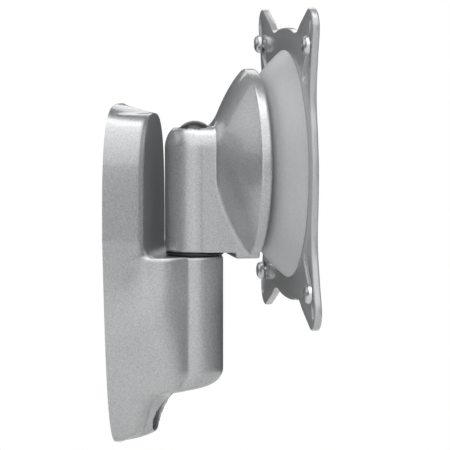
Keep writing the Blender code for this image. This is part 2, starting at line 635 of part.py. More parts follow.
def arm_casting(arm):
    half_width = HUB_RADIUS - 0.05 * MM
    stations = [(-2 * MM, HUB_FOOT), (4 * MM, HUB_FOOT)]
    for share in (0, 0.03, 0.08, 0.16, 0.26, 0.38):
        stations.append((BOWL_RIM_BACK - BOWL_BACK_DEPTH * (1 - share), HUB_FOOT))
    stations += [(NECK_START, HUB_FOOT), (NECK_START, NECK_UNDERSIDE)]
    for distance in (17.3, 19, 20.3, 21.2, 21.9, 22.6):
        stations.append((distance * MM, NECK_UNDERSIDE))
    stations += [(BOWL_RIM_FRONT - 0.6 * MM, NECK_UNDERSIDE), (BOWL_RIM_FRONT, NECK_UNDERSIDE)]
    rings = []
    for distance, underside in stations:
        bowl = bowl_radius(distance) if distance > BOWL_RIM_BACK - BOWL_BACK_DEPTH - 0.01 * MM else 0.0
        if distance == BOWL_RIM_FRONT:
            bowl -= 0.6 * MM
        ring = []
        for angle in neck_angles():
            direction = (math.cos(angle), math.sin(angle))
            reach = smooth_max(neck_reach(direction, underside, half_width), bowl, BOWL_FILLET)
            floor = (underside - BOWL_HEIGHT) / min(direction[1], -1e-6)
            if direction[1] < 0 and reach * -direction[1] > BOWL_HEIGHT - underside and bowl < BOWL_RADIUS - MM:
                reach = min(reach, floor)
            ring.append(Vector((reach * direction[0], -distance, BOWL_HEIGHT + reach * direction[1])))
        rings.append(ring)
    neck = loft("arm_casting", rings)
    hub_outline = [(0, HUB_TOP)]
    corner = (HUB_RADIUS - HUB_TOP_ROUND, HUB_TOP - HUB_TOP_ROUND)
    hub_outline += list(reversed(arc(corner, HUB_TOP_ROUND, 0, 90, 6)))
    hub_outline += [(HUB_RADIUS, HUB_FOOT + HUB_FOOT_ROUND), (HUB_RADIUS - HUB_FOOT_ROUND, HUB_FOOT), (0, HUB_FOOT)]
    hub = turned("hub", hub_outline, TURN_STEPS)
    casting = join(neck, hub)
    bush_bore = PIVOT_RADIUS + 2 * GAP + BUSH_WALL
    bore = rod("hub_bore", bush_bore, 200 * MM, (0, 0, 0), steps=24)
    recess = rod("hub_recess", HUB_RECESS_RADIUS, 40 * MM, (0, 0, HUB_TOP - HUB_RECESS_DEPTH + 20 * MM),
                 steps=32)
    seat = ball("bowl_seat", SEAT_RADIUS, 64, 32, (0, -BALL_DISTANCE, BOWL_HEIGHT))
    thread_end = BALL_DISTANCE - SEAT_RADIUS - TENSION_THREAD
    tap = rod("tension_tap", TENSION_RADIUS + GAP, 40 * MM, (0, -thread_end - 20 * MM, BOWL_HEIGHT), "Y", 20)
    casting = cut(casting, bore, recess, seat, tap)
    for cutter in (bore, recess, seat, tap):
        cutter.parent = arm
    return make_part(casting, SILVER, arm)


def ball(name, radius, around, along, centre, group=CUTTERS):
    """A sphere with its poles on the Y axis."""
    bm = bmesh.new()
    bmesh.ops.create_uvsphere(bm, u_segments=around, v_segments=along, radius=radius)
    turn = Matrix.Translation(centre) @ Matrix.Rotation(math.radians(90), 4, "X")
    bmesh.ops.transform(bm, matrix=turn, verts=bm.verts)
    return mesh_object(name, bm, group)


# ---------------------------------------------------------------- ball joint, turned about the ball's axis

# Turned pieces are drawn about Z with the ball centre at 0 and the arm at +Z, and this stands them on the
# arm's axis.
TOWARDS_ARM = (math.radians(-90), 0, 0)


def cap_arc(radius, start, end, count):
    """Arc of a spherical piece as (radius, height), angles measured from the axis."""
    return [(radius * math.sin(math.radians(blend(start, end, i / count))),
             radius * math.cos(math.radians(blend(start, end, i / count)))) for i in range(count + 1)]


def spherical_ring(name, inner, outer, angles, material, parent, steps, count=2):
    outline = cap_arc(outer, *angles, count) + cap_arc(inner, angles[1], angles[0], count)
    return make_part(turned(name, outline, steps), material, parent, (0, 0, 0), TOWARDS_ARM)


def dome(head):
    hole = math.degrees(math.asin(DOME_HOLE_RADIUS / DOME_RADIUS))
    base = math.degrees(math.asin(DOME_BASE_RADIUS / DOME_RADIUS))
    floor = PLATE_BACK + GAP
    inside_hole = math.degrees(math.asin(DOME_HOLE_RADIUS / DOME_INSIDE))
    inside_base = math.degrees(math.acos(floor / DOME_INSIDE))
    outline = cap_arc(DOME_RADIUS, hole, base - 0.6, 8)
    edge = DOME_RADIUS * math.sin(math.radians(base - 0.6))
    outline += [(edge, floor)]
    outline += cap_arc(DOME_INSIDE, inside_base, inside_hole, 7)
    shell = turned("dome", outline, 48)
    lugs = []
    for x, z in dome_screw_places():
        lug = rod("lug", DOME_LUG_RADIUS, 30 * MM, (x, z, floor + 15 * MM), steps=16)
        lugs.append(lug)
    lug_ball = bmesh.new()
    bmesh.ops.create_uvsphere(lug_ball, u_segments=48, v_segments=32, radius=DOME_RADIUS - DOME_WALL / 2)
    limit = mesh_object("lug_limit", lug_ball, CUTTERS)
    holes = []
    for index, (x, z) in enumerate(dome_screw_places()):
        trim = lugs[index].modifiers.new("inside", "BOOLEAN")
        trim.operation = "INTERSECT"
        trim.solver = "EXACT"
        trim.object = limit
        shell = join(shell, baked(lugs[index]))
        depth = 2 * DOME_SCREW_LENGTH - 2 * MM
        holes.append(rod("lug_tap", DOME_SCREW_RADIUS + GAP, depth, (x, z, floor), steps=14))
    limit.hide_render = True
    limit.display_type = "WIRE"
    return make_part(cut(shell, *holes), DOME_GREY, head, (0, 0, 0), TOWARDS_ARM)


def dome_screw_places():
    step = DOME_SCREW_CIRCLE
    return [(step, 0), (0, step), (-step, 0), (0, -step)]


def tension_clamp(arm, ball_place):
    """Clamp cup, disc springs and bolt that pull the dome into the bowl."""
    edge_height = CLAMP_RADIUS * math.cos(math.radians(CLAMP_ANGLE)) - CLAMP_EDGE
    hole = math.degrees(math.asin((TENSION_RADIUS + GAP) / CLAMP_RADIUS))
    outline = cap_arc(CLAMP_RADIUS, hole, CLAMP_ANGLE, 5)
    outline += [(CLAMP_RADIUS * math.sin(math.radians(CLAMP_ANGLE)), edge_height)]
    outline += [(TENSION_RADIUS + GAP, edge_height)]
    make_part(turned("clamp_cup", outline, 32), ZINC, arm, ball_place, TOWARDS_ARM)
    step = DISC_SPRING + DISC_SPRING_CONE
    first = edge_height - GAP - step
    second = first - GAP - step
    for name, low in (("tension_spring_inner", first), ("tension_spring_outer", second)):
        disc_spring(name, TENSION_RADIUS + GAP, TENSION_SPRING_RADIUS, low, arm,
                    rotation=TOWARDS_ARM, location=ball_place)
    head_top = second - GAP
    head_low = head_top - TENSION_HEAD_HEIGHT
    tip = SEAT_RADIUS + TENSION_THREAD - 1 * MM
    bolt = turned("tension_bolt", [
        (0, tip), (TENSION_RADIUS - 0.6 * MM, tip), (TENSION_RADIUS, tip - 0.6 * MM),
        (TENSION_RADIUS, head_top), (TENSION_HEAD_RADIUS, head_top), (TENSION_HEAD_RADIUS, head_low + 0.7 * MM),
        (TENSION_HEAD_RADIUS - 0.7 * MM, head_low), (0, head_low)], 20)
    socket = hexagon("tension_socket", 2.9 * MM, head_low - 5 * MM, head_low + 2.5 * MM, CUTTERS)
    make_part(cut(bolt, socket), ZINC, arm, ball_place, TOWARDS_ARM)


# ---------------------------------------------------------------- mounting plate and screws

def quarter_outline():
    """A quarter of the plate from the top centre, over the ear, to the middle of its side."""
    return [(0, PLATE_BUMP), (0.5 * PLATE_VALLEY[0], PLATE_BUMP - 0.5 * MM), PLATE_VALLEY,
            (PLATE_VALLEY[0] + 8 * MM, PLATE_VALLEY[1] + 3.5 * MM),
            *reversed(arc(EAR_CENTRE, EAR_RADIUS, 8, 120, 5)),
            (blend(EAR_CENTRE[0] + EAR_RADIUS, PLATE_WAIST[0], 0.5), blend(EAR_CENTRE[1], PLATE_WAIST[1], 0.42)),
            PLATE_WAIST, (blend(PLATE_WAIST[0], PLATE_HALF_WIDTH, 0.62), PLATE_WAIST[1] * 0.45),
            (PLATE_HALF_WIDTH, 0)]


def add_outline(curve, points, smooth):
    spline = curve.splines.new("BEZIER" if smooth else "POLY")
    target = spline.bezier_points if smooth else spline.points
    target.add(len(points) - 1)
    for knot, (x, y) in zip(target, points):
        knot.co = (x, y, 0) if smooth else (x, y, 0, 1)
        if smooth:
            knot.handle_left_type = knot.handle_right_type = "AUTO"
    spline.use_cyclic_u = True
    spline.resolution_u = 3


def slot_outline(sign_x, sign_z):
    """A diagonal slot with round ends that bends at the outer screw place, as a closed outline."""
    inner, bend, radius = SLOT_INNER_PITCH / 2, SCREW_PITCH / 2, SLOT_WIDTH / 2
    heading = math.degrees(math.atan2(SLOT_END[1], SLOT_END[0]))
    end = (bend + SLOT_END[0], bend + SLOT_END[1])
    half_bend = (heading - 45) / 2
    mitre = radius / math.cos(math.radians(half_bend))
    points = arc((inner, inner), radius, 135, 315, 7)
    points += arc((bend, bend), radius, -45, heading - 90, 2)
    points += arc(end, radius, heading - 90, heading + 90, 7)
    points += arc((bend, bend), mitre, 135 + half_bend, 135 + half_bend, 1)[:1]
    return [(sign_x * x, sign_z * z) for x, z in points]


def mounting_plate(head):
    curve = bpy.data.curves.new("mounting_plate", "CURVE")
    curve.dimensions = "2D"
    curve.fill_mode = "BOTH"
    curve.extrude = PLATE / 2
    quarter = quarter_outline()
    right = quarter + [(x, -z) for x, z in reversed(quarter[:-1])]
    add_outline(curve, right + [(-x, z) for x, z in reversed(right[1:-1])], True)
    for sign_x in (-1, 1):
        for sign_z in (-1, 1):
            add_outline(curve, slot_outline(sign_x, sign_z), False)
    add_outline(curve, arc((0, 0), PLATE_HOLE_RADIUS, 0, 345, 23), False)
    plate = bpy.data.objects.new("mounting_plate", curve)
    PARTS.objects.link(plate)
    plate = baked(plate)
    holes = []
    for x, z in dome_screw_places():
        holes.append(rod("dome_screw_hole", DOME_SCREW_RADIUS + GAP, PLATE + 2 * GAP, (x, z, 0), steps=20,
                         tip=DOME_SCREW_HEAD + 2 * GAP))
    place = (0, PLATE_BACK - PLATE / 2, 0)
    return make_part(cut(plate, *holes), PLATE_GREY, head, place, (math.radians(90), 0, 0))


def dome_screws(head):
    """Countersunk screws through the plate into the dome's lugs, flush with the plate's face."""
    face = PLATE_BACK - PLATE + GAP
    outline = [(0, DOME_SCREW_LENGTH + PLATE - 2 * MM), (DOME_SCREW_RADIUS, DOME_SCREW_LENGTH + PLATE - 2 * MM),
               (DOME_SCREW_RADIUS, DOME_SCREW_HEAD - DOME_SCREW_RADIUS + 0.4 * MM),
               (DOME_SCREW_HEAD, 0.2 * MM), (DOME_SCREW_HEAD, 0), (0, 0)]
    for name, (x, z) in zip(("right", "bottom", "left", "top"), dome_screw_places()):
        make_part(turned("dome_screw_" + name, outline, 20), ZINC, head, (x, face, -z), TOWARDS_ARM)


def mounting_screws(head):
    """The four pan head screws that go through the slots into the back of the screen."""
    seat = PLATE_BACK + GAP
    top = seat + SCREW_HEAD_HEIGHT
    tip = PLATE_BACK - PLATE + SCREW_RECESS
    outline = [(0, top), (1.6 * MM, top), (2.9 * MM, top - 0.45 * MM), (3.7 * MM, top - 1.2 * MM),
               (SCREW_HEAD_RADIUS, top - 2.1 * MM), (SCREW_HEAD_RADIUS, seat), (SCREW_RADIUS, seat),
               (SCREW_RADIUS, tip), (0, tip)]
    for vertical, sign_z in (("upper", 1), ("lower", -1)):
        for side, sign_x in (("near", -1), ("far", 1)):
            screw = turned("screw_" + vertical + "_" + side, outline, 20)
            for turn in (0, 90):
                blade = box("cross", (-2.1 * MM, -0.4 * MM, top - 1.3 * MM),
                            (2.1 * MM, 0.4 * MM, top + 2 * MM))
                blade.data.transform(Matrix.Rotation(math.radians(turn), 4, "Z"))
                screw = cut(screw, blade)
            place = (sign_x * SCREW_PITCH / 2, 0, sign_z * SCREW_PITCH / 2)
            make_part(screw, ZINC, head, place, TOWARDS_ARM)


# ---------------------------------------------------------------- assembly

def build():
    pivot = empty("pivot_axis", None, (0, -PIVOT_STANDOFF, 0))
    arm = empty("arm_turn", pivot, (0, 0, 0), (0, 0, SWIVEL_REST))
    ball_place = (0, -BALL_DISTANCE, BOWL_HEIGHT)
    ball_centre = empty("ball_centre", arm, ball_place, (TILT_REST, 0, 0))
    wall_casting()
    keyhole_plate()
    keyhole_screws()
    pivot_hardware(pivot)
    hub_bushes(arm)
    arm_casting(arm)
    tension_clamp(arm, ball_place)
    spherical_ring("outer_liner", DOME_RADIUS + GAP, DOME_RADIUS + GAP + OUTER_LINER,
                   (LINER_START, OUTER_LINER_END), ACETAL, ball_centre, 48)
    spherical_ring("inner_liner", DOME_INSIDE - GAP - INNER_LINER, DOME_INSIDE - GAP,
                   (LINER_START, INNER_LINER_END), ACETAL, ball_centre, 40)
    dome(ball_centre)
    mounting_plate(ball_centre)
    dome_screws(ball_centre)
    mounting_screws(ball_centre)


build()
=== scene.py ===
import json
import math

import bpy
from mathutils import Matrix, Vector


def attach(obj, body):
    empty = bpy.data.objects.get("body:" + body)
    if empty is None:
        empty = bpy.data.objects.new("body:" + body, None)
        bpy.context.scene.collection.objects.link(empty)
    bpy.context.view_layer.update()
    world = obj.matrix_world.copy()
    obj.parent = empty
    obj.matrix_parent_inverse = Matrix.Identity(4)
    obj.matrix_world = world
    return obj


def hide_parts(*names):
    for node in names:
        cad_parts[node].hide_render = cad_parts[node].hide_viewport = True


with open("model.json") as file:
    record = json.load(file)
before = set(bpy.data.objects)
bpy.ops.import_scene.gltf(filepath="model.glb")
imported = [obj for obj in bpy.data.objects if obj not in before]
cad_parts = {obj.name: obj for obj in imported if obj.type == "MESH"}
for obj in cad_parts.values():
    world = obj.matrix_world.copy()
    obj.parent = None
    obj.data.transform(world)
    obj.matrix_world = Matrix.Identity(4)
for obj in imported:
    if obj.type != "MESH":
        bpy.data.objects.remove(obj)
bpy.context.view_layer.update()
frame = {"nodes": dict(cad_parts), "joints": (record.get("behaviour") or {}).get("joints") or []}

# ------------------------------------------------------------------ wall casting
# The shield-shaped base that is screwed to the wall: pressure die-cast aluminium, hollow at the back, with
# a shelf and a round boss that carry the pivot. It leaves the die with small round edges and drafted sides.

mm = 0.001
pivot_centre = Vector((0, -32.5 * mm, 0))
shield_top, shield_foot, shield_waist = 71 * mm, -72 * mm, 15 * mm
shield_half = 29.5 * mm
shield_taper = 0.09
slab_half, slab_depth, slab_top = 21.2 * mm, 15.1 * mm, 67 * mm
slab_corner, slab_fillet = 2 * mm, 5 * mm
shelf_height = 7.6 * mm
shelf_half, shelf_shoulder = 20.6 * mm, 24 * mm
shoulder_round = 6.5 * mm
boss_radius, boss_front, boss_foot = 12 * mm, 44.5 * mm, -37 * mm
nose_start, nose_end = -46 * mm, -57 * mm
wall_spare = 1.5 * mm


def mix(a, b, share):
    return a + (b - a) * share


def ease(low, high, value):
    share = min(max((value - low) / (high - low), 0), 1)
    return share * share * (3 - 2 * share)


def shield(height, widest=shield_half, top=shield_top):
    """Half-width of the shield outline at this height: a squarish arch on a tapering foot."""
    if height >= top or height <= shield_foot:
        return 0
    if height > shield_waist:
        share = (height - shield_waist) / (top - shield_waist)
        return widest * (1 - share ** 3.3) ** (1 / 3.3)
    drop = shield_waist - height
    return (widest - shield_taper * drop) * (1 - (drop / (shield_waist - shield_foot)) ** 4) ** 0.25


def mirrored_ring(half, height):
    left = [(-x, depth) for x, depth in reversed(half[1:-1])]
    return [(x, -depth, height) for x, depth in half + left]


def back_points(base, corner, depth):
    """Back of the body, drawn past the wall plane along the side's draft; it is faced off flat later."""
    base += wall_spare * min((base - corner) / max(depth, 0.1 * mm), 0.7)
    return [(0, -wall_spare), (base / 3, -wall_spare), (base / 1.5, -wall_spare), (base, -wall_spare)]


def bend(start, knee, end, count):
    """Points of a quadratic curve that rounds this knee."""
    shares = [i / (count - 1) for i in range(count)]
    return [tuple(start * (1 - s) ** 2 + knee * 2 * s * (1 - s) + end * s * s) for s in shares]


def upper_level(height):
    """Plan of the slab above the shelf: drafted side, round corner, flat front with a fillet at its foot."""
    base = shield(height)
    corner = shield(height, slab_half, slab_top)
    crown = (shield_top - height) / (shield_top - slab_top)
    depth = slab_depth * min(crown, 1)
    to_go = max(slab_fillet - (height - shelf_height), 0)
    foot = slab_fillet - math.sqrt(slab_fillet ** 2 - to_go ** 2)
    edge = min(slab_corner, corner / 2)
    slope = math.hypot(base - corner, depth)
    stop = max(1 - edge / max(slope, edge), 0.5) if slope else 1
    half = back_points(base, corner, depth)
    for i in range(12):
        share = stop * i / 11
        half.append((mix(base, corner, share), depth * share))
    start, end = Vector(half[-1]), Vector((corner - edge, depth + foot))
    knee = Vector((corner, depth))
    half += bend(start, knee, end, 7)[1:-1]
    for i in range(19):
        half.append(((corner - edge) * (1 - i / 18), depth + foot))
    return mirrored_ring(half, height)


def lower_level(height, front, inset=0.0):
    """Plan of the body below the shelf: drafted side, soft shoulder, slanting flank and boss or nose."""
    base = shield(height)
    shoulder = shelf_half * base / shield(shelf_height) - inset
    full_depth = shelf_shoulder + 1.09 * (shelf_half - shoulder - inset)
    nose = ease(nose_start, nose_end, height)
    radius = mix(boss_radius - 0.4 * inset, 0.48 * base, nose)
    reach = min(mix(radius, 4.5 * mm, ease(nose_start, nose_start - 5.5 * mm, height)), 0.4 * front)
    centre = front - reach
    shoulder_depth = min(full_depth, centre - 0.04 * nose * front)
    shoulder = mix(base, shoulder, shoulder_depth / full_depth)
    straight = ease(shelf_height, -22 * mm, height)
    share = min(slab_depth / shoulder_depth, 0.63)
    drafted = mix(base, shield(height, slab_half, slab_top), min(share * shoulder_depth / slab_depth, 1))
    middle = Vector((mix(drafted, mix(base, shoulder, share), straight), share * shoulder_depth))
    half = back_points(base, *middle)
    knee, flank = Vector((shoulder, shoulder_depth)), Vector((radius, centre))
    side_in, flank_in = middle - knee, flank - knee
    start = knee + side_in * min(shoulder_round / side_in.length, 0.8)
    end = knee + flank_in * min(shoulder_round / flank_in.length, 0.6)
    root = Vector((base, 0))
    bend_in, bend_out = root.lerp(middle, 0.45), middle.lerp(start, 0.7)
    for i in range(4):
        half.append(tuple(root.lerp(bend_in, i / 4)))
    half += bend(bend_in, middle, bend_out, 6)
    half.append(tuple(bend_out.lerp(start, 0.5)))
    half += bend(start, knee, end, 8)
    for i in range(1, 4):
        half.append(tuple(end.lerp(flank, i / 4)))
    for i in range(14):
        turn = math.radians(90 * i / 13)
        half.append((radius * math.cos(turn), centre + (reach - 0.4 * inset) * math.sin(turn)))
    return mirrored_ring(half, height)


def flowing(points, steps):
    """A smooth line through the points (Catmull-Rom)."""
    line = []
    for i in range(len(points) - 1):
        before, start = Vector(points[max(i - 1, 0)]), Vector(points[i])
        end, after = Vector(points[i + 1]), Vector(points[min(i + 2, len(points) - 1)])
        for step in range(steps):
            t = step / steps
            square = (2 * before - 5 * start + 4 * end - after) * t * t
            cube = (3 * start - before - 3 * end + after) * t ** 3
            line.append(0.5 * (2 * start + (end - before) * t + square + cube))
    return line + [Vector(points[-1])]


def only(piece):
    """Leaves this piece alone selected and active."""
    bpy.ops.object.select_all(action="DESELECT")
    piece.select_set(True)
    bpy.context.view_layer.objects.active = piece
    return piece


def skin_over(name, rings):
    """A grid wrapped round these rings, joined along its seam and closed at both ends."""
    bpy.ops.object.select_all(action="DESELECT")
    around = len(rings[0])
    bpy.ops.mesh.primitive_grid_add(x_subdivisions=around, y_subdivisions=len(rings) - 1, size=0.1)
    piece = bpy.context.object
    piece.name = name
    for level, ring in enumerate(rings):
        for i in range(around + 1):
            piece.data.vertices[level * (around + 1) + i].co = ring[i % around]
    bpy.ops.object.mode_set(mode="EDIT")
    bpy.ops.mesh.select_all(action="SELECT")
    bpy.ops.mesh.remove_doubles(threshold=1e-6)
    bpy.ops.mesh.fill_holes(sides=0)
    bpy.ops.mesh.select_all(action="SELECT")
    bpy.ops.mesh.normals_make_consistent(inside=False)
    bpy.ops.object.mode_set(mode="OBJECT")
    return piece


def modify(piece, kind, **settings):
    """Adds one modifier with these settings and applies it."""
    only(piece)
    step = piece.modifiers.new(kind.lower(), kind)
    for setting, value in settings.items():
        setattr(step, setting, value)
    bpy.ops.object.modifier_apply(modifier=step.name)
    return piece


def combine(piece, other, operation="DIFFERENCE"):
    """Cuts the other object out of the piece, or joins or crosses them, and drops the other."""
    modify(piece, "BOOLEAN", operation=operation, solver="EXACT", object=other)
    bpy.data.objects.remove(other)
    return piece


def block(low, high):
    """A box between two opposite corners."""
    bpy.ops.object.select_all(action="DESELECT")
    centre = [(a + b) / 2 for a, b in zip(low, high)]
    sides = [b - a for a, b in zip(low, high)]
    bpy.ops.mesh.primitive_cube_add(size=1, location=centre, scale=sides)
    bpy.ops.object.transform_apply(location=True, rotation=True, scale=True)
    return bpy.context.object


def drill(radius, low, high, centre, axis="Z", steps=64):
    """A round cutter along an axis from low to high."""
    bpy.ops.object.select_all(action="DESELECT")
    turn = {"Z": (0, 0, 0), "Y": (math.radians(90), 0, 0)}[axis]
    place = Vector(centre)
    place["XYZ".index(axis)] = (low + high) / 2
    bpy.ops.mesh.primitive_cylinder_add(vertices=steps, radius=radius, depth=high - low,
                                        location=place, rotation=turn)
    bpy.ops.object.transform_apply(location=True, rotation=True, scale=True)
    return bpy.context.object


def cast_skin(piece, grain, passes):
    """Remeshes a cut casting evenly and relaxes it, which gives its edges the small radius of a casting."""
    modify(piece, "REMESH", mode="VOXEL", voxel_size=grain)
    modify(piece, "SMOOTH", factor=0.5, iterations=passes)
    bpy.ops.object.shade_smooth()
    return piece


# Height and depth of the front from the foot's tip, over the nose, up the undercut and onto the boss.
front_line = [(-71.95, 1.5), (-71.6, 4), (-70.6, 8.5), (-69.2, 12.5), (-67.4, 15.9), (-64.5, 17.5),
              (-61, 18.9), (-57.5, 19.9), (-53.7, 21.2), (-50.8, 24.1), (-49.6, 30), (-48, 37.2),
              (-46.4, 40.7), (-44.2, 43), (-41, 44.5), (-37, 44.5)]
levels = []
for point in flowing(front_line, 4):
    levels.append(lower_level(point.x * mm, min(point.y * mm, boss_front)))
for step in range(1, 22):
    levels.append(lower_level(mix(boss_foot, shelf_height - 2 * mm, step / 22), boss_front))
for drop, inset in ((2, 0), (1.5, 0.02), (1, 0.15), (0.6, 0.38), (0.3, 0.7), (0.1, 1.05), (0, 1.4)):
    levels.append(lower_level(shelf_height - drop * mm, boss_front, inset * mm))
for rise in (0, 0.25, 0.6, 1.1, 1.8, 2.7, 3.8, 5):
    levels.append(upper_level(shelf_height + rise * mm))
for step in range(1, 28):
    levels.append(upper_level(mix(shelf_height + slab_fillet, 64 * mm, step / 27)))
for height in (65, 65.8, 66.4, 66.8, 66.98, 67.3, 67.8, 68.4, 69, 69.6, 70.1, 70.5, 70.8, 70.95):
    levels.append(upper_level(height * mm))
wall_casting = skin_over("wall_casting_skin", levels)
core_half, core_foot, core_top = 9 * mm, -43 * mm, -5.4 * mm
combine(wall_casting, block((-core_half, pivot_centre.y, core_foot), (core_half, 5 * mm, core_top)))
combine(wall_casting, drill(core_half, core_foot, core_top, pivot_centre))
combine(wall_casting, block((-8.5 * mm, -10.5 * mm, 29 * mm), (8.5 * mm, 5 * mm, 57 * mm)))
combine(wall_casting, block((-17.4 * mm, -2.7 * mm, 24.1 * mm), (17.4 * mm, 5 * mm, 61.9 * mm)))
combine(wall_casting, drill(5.4 * mm, -20 * mm, 20 * mm, pivot_centre))
screw_hole = (0, 0, -60 * mm)
combine(wall_casting, drill(3.2 * mm, -30 * mm, 5 * mm, screw_hole, "Y"))
combine(wall_casting, drill(7.2 * mm, -40 * mm, -6 * mm, screw_hole, "Y"))
cast_skin(wall_casting, 0.62 * mm, 5)
combine(wall_casting, block((-40 * mm, 0, -80 * mm), (40 * mm, 9 * mm, 80 * mm)))
bpy.ops.object.shade_smooth_by_angle(angle=math.radians(50))
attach(wall_casting, "wall")
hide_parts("wall_casting")


def linear(code):
    """An sRGB hex colour as linear red, green, blue and alpha."""
    values = [int(code[i:i + 2], 16) / 255 for i in (0, 2, 4)]
    return [v / 12.92 if v <= 0.04045 else ((v + 0.055) / 1.055) ** 2.4 for v in values] + [1]


def add_node(tree, kind, settings=None, links=None):
    """Adds one node, sets its sockets and options, and links sources into it."""
    item = tree.nodes.new("ShaderNode" + kind)
    for key, value in (settings or {}).items():
        if isinstance(key, int) or key in item.inputs:
            item.inputs[key].default_value = value
        else:
            setattr(item, key, value)
    for key, source in (links or {}).items():
        tree.links.new(source, item.inputs[key])
    return item


def new_material(name):
    material = bpy.data.materials.new(name)
    material.use_nodes = True
    material.node_tree.nodes.clear()
    return material, material.node_tree


# Sprayed metallic enamel: aluminium flakes in a grey binder under a thin clear film. The flakes give the eye
# a fine sparkle and wide soft highlights, the film a faint sharp gloss over them, and the orange peel breaks
# that gloss up. Real flakes are near 0.05 mm; they are drawn at 0.6 mm, the finest that still shows.
def metallic_enamel(name, dark, light, metal, rough, coat, coat_rough, peel):
    material, tree = new_material(name)
    place = {"Vector": add_node(tree, "TexCoord").outputs["Object"]}
    flake, drift, orange_peel = 0.588 * mm, 14.3 * mm, 2.083 * mm
    flakes = add_node(tree, "TexNoise", {"Scale": 1 / flake, "Detail": 2, "Roughness": 0.7}, place)
    clouds = add_node(tree, "TexNoise", {"Scale": 1 / drift, "Detail": 3, "Roughness": 0.5}, place)
    skin = add_node(tree, "TexNoise", {"Scale": 1 / orange_peel, "Detail": 2, "Roughness": 0.5}, place)
    flake_value = {"Value": flakes.outputs["Fac"]}
    sparkle = add_node(tree, "MapRange", {"From Min": 0.3, "From Max": 0.7, "To Max": 0.8}, flake_value)
    share = add_node(tree, "Math", {"operation": "MULTIPLY_ADD", 1: 0.2},
                     {0: clouds.outputs["Fac"], 2: sparkle.outputs[0]})
    colour = add_node(tree, "Mix", {"data_type": "RGBA", 6: linear(dark), 7: linear(light)},
                      {0: share.outputs[0]})
    gloss = add_node(tree, "MapRange", {"From Min": 0.3, "From Max": 0.7,
                                        "To Min": rough - 0.05, "To Max": rough + 0.07}, flake_value)
    bump = add_node(tree, "Bump", {"Strength": peel, "Distance": 0.08 * mm}, {"Height": skin.outputs["Fac"]})
    shader = add_node(tree, "BsdfPrincipled",
                      {"Metallic": metal, "Coat Weight": coat, "Coat Roughness": coat_rough, "Coat IOR": 1.5},
                      {"Base Color": colour.outputs[2], "Roughness": gloss.outputs[0],
                       "Normal": bump.outputs[0]})
    add_node(tree, "OutputMaterial", {}, {"Surface": shader.outputs[0]})
    return material


# On the castings the enamel is bright silver under a full gloss film.
silver_enamel = metallic_enamel("silver_enamel", "9EA0A2", "CACCCD", 0.8, 0.4, 0.8, 0.06, 0.12)


def paint(piece, material):
    piece.data.materials.clear()
    piece.data.materials.append(material)


paint(wall_casting, silver_enamel)

# ------------------------------------------------------------------ arm casting
# One more die casting: a round hub on the pivot, a short neck and a shallow bowl that the dome sits in. It
# has the same silver enamel, and the neck runs into the bowl's back in a small fillet.

tilt, pan = frame["joints"][1:3]
ball_centre = Vector(tilt["pos_m"])
arm_heading = math.atan2(tilt["axis"][1], tilt["axis"][0])
arm_turn = Matrix.Translation(pivot_centre) @ Matrix.Rotation(arm_heading, 4, "Z")
ball_distance = (ball_centre - pivot_centre).to_2d().length
hub_radius = 12.5 * mm
hub_top = 61.8 * mm
hub_foot = 9.25 * mm
hub_round = (6.5 * mm, 9.5 * mm)
cap_well = 8.5 * mm
bowl_height = ball_centre.z
bowl_radius, bowl_foot = 39.5 * mm, 6.6 * mm
bowl_back, rim_back, rim_front = 7.6 * mm, 21.2 * mm, 25.5 * mm
seat_radius = 64.1 * mm


def bowl_edge(distance):
    """Outer radius of the bowl at this distance from the pivot: a rim band, and a bulging cone behind it."""
    back = rim_back - distance
    if back < 0:
        return bowl_radius
    return bowl_radius - 0.2 * mm - 1.07 * back - 56.2 * back * back


def neck_edge(across, up, underside):
    """Distance from the bowl's axis to the neck's outline, a box with round upper corners."""
    low, high, halvings = 0, 0.1, 26
    half_width, top = hub_radius - 0.05 * mm, hub_top - bowl_height
    for _ in range(halvings):
        middle = (low + high) / 2
        x, z = abs(across * middle), up * middle
        out_x = (x - half_width) / hub_round[0] + 1
        out_z = (z - top) / hub_round[1] + 1
        if out_x > 0 and out_z > 0:
            inside = math.hypot(out_x, out_z) < 1
        else:
            inside = x < half_width and underside - bowl_height < z < top
        low, high = (middle, high) if inside else (low, middle)
    return low


def larger(a, b, fillet):
    """The larger of two radii, with a fillet where they meet."""
    overlap = max(fillet - abs(a - b), 0) / fillet
    return max(a, b) + overlap * overlap * fillet / 4


def arm_level(distance, underside, trim=0.0):
    """Section through neck and bowl at this distance from the pivot."""
    ring = []
    bowl = bowl_edge(distance) - trim if distance >= bowl_back else 0
    for i in range(180):
        angle = math.radians(2 * i)
        across, up = math.cos(angle), math.sin(angle)
        fillet = 3.2 * mm + 4 * mm * max(up, 0) ** 2
        reach = larger(neck_edge(across, up, underside), bowl, fillet)
        if up < 0 and reach * -up > bowl_height - underside:
            reach = min(reach, (underside - bowl_height) / up)
        ring.append((reach * across, -distance, bowl_height + reach * up))
    return ring


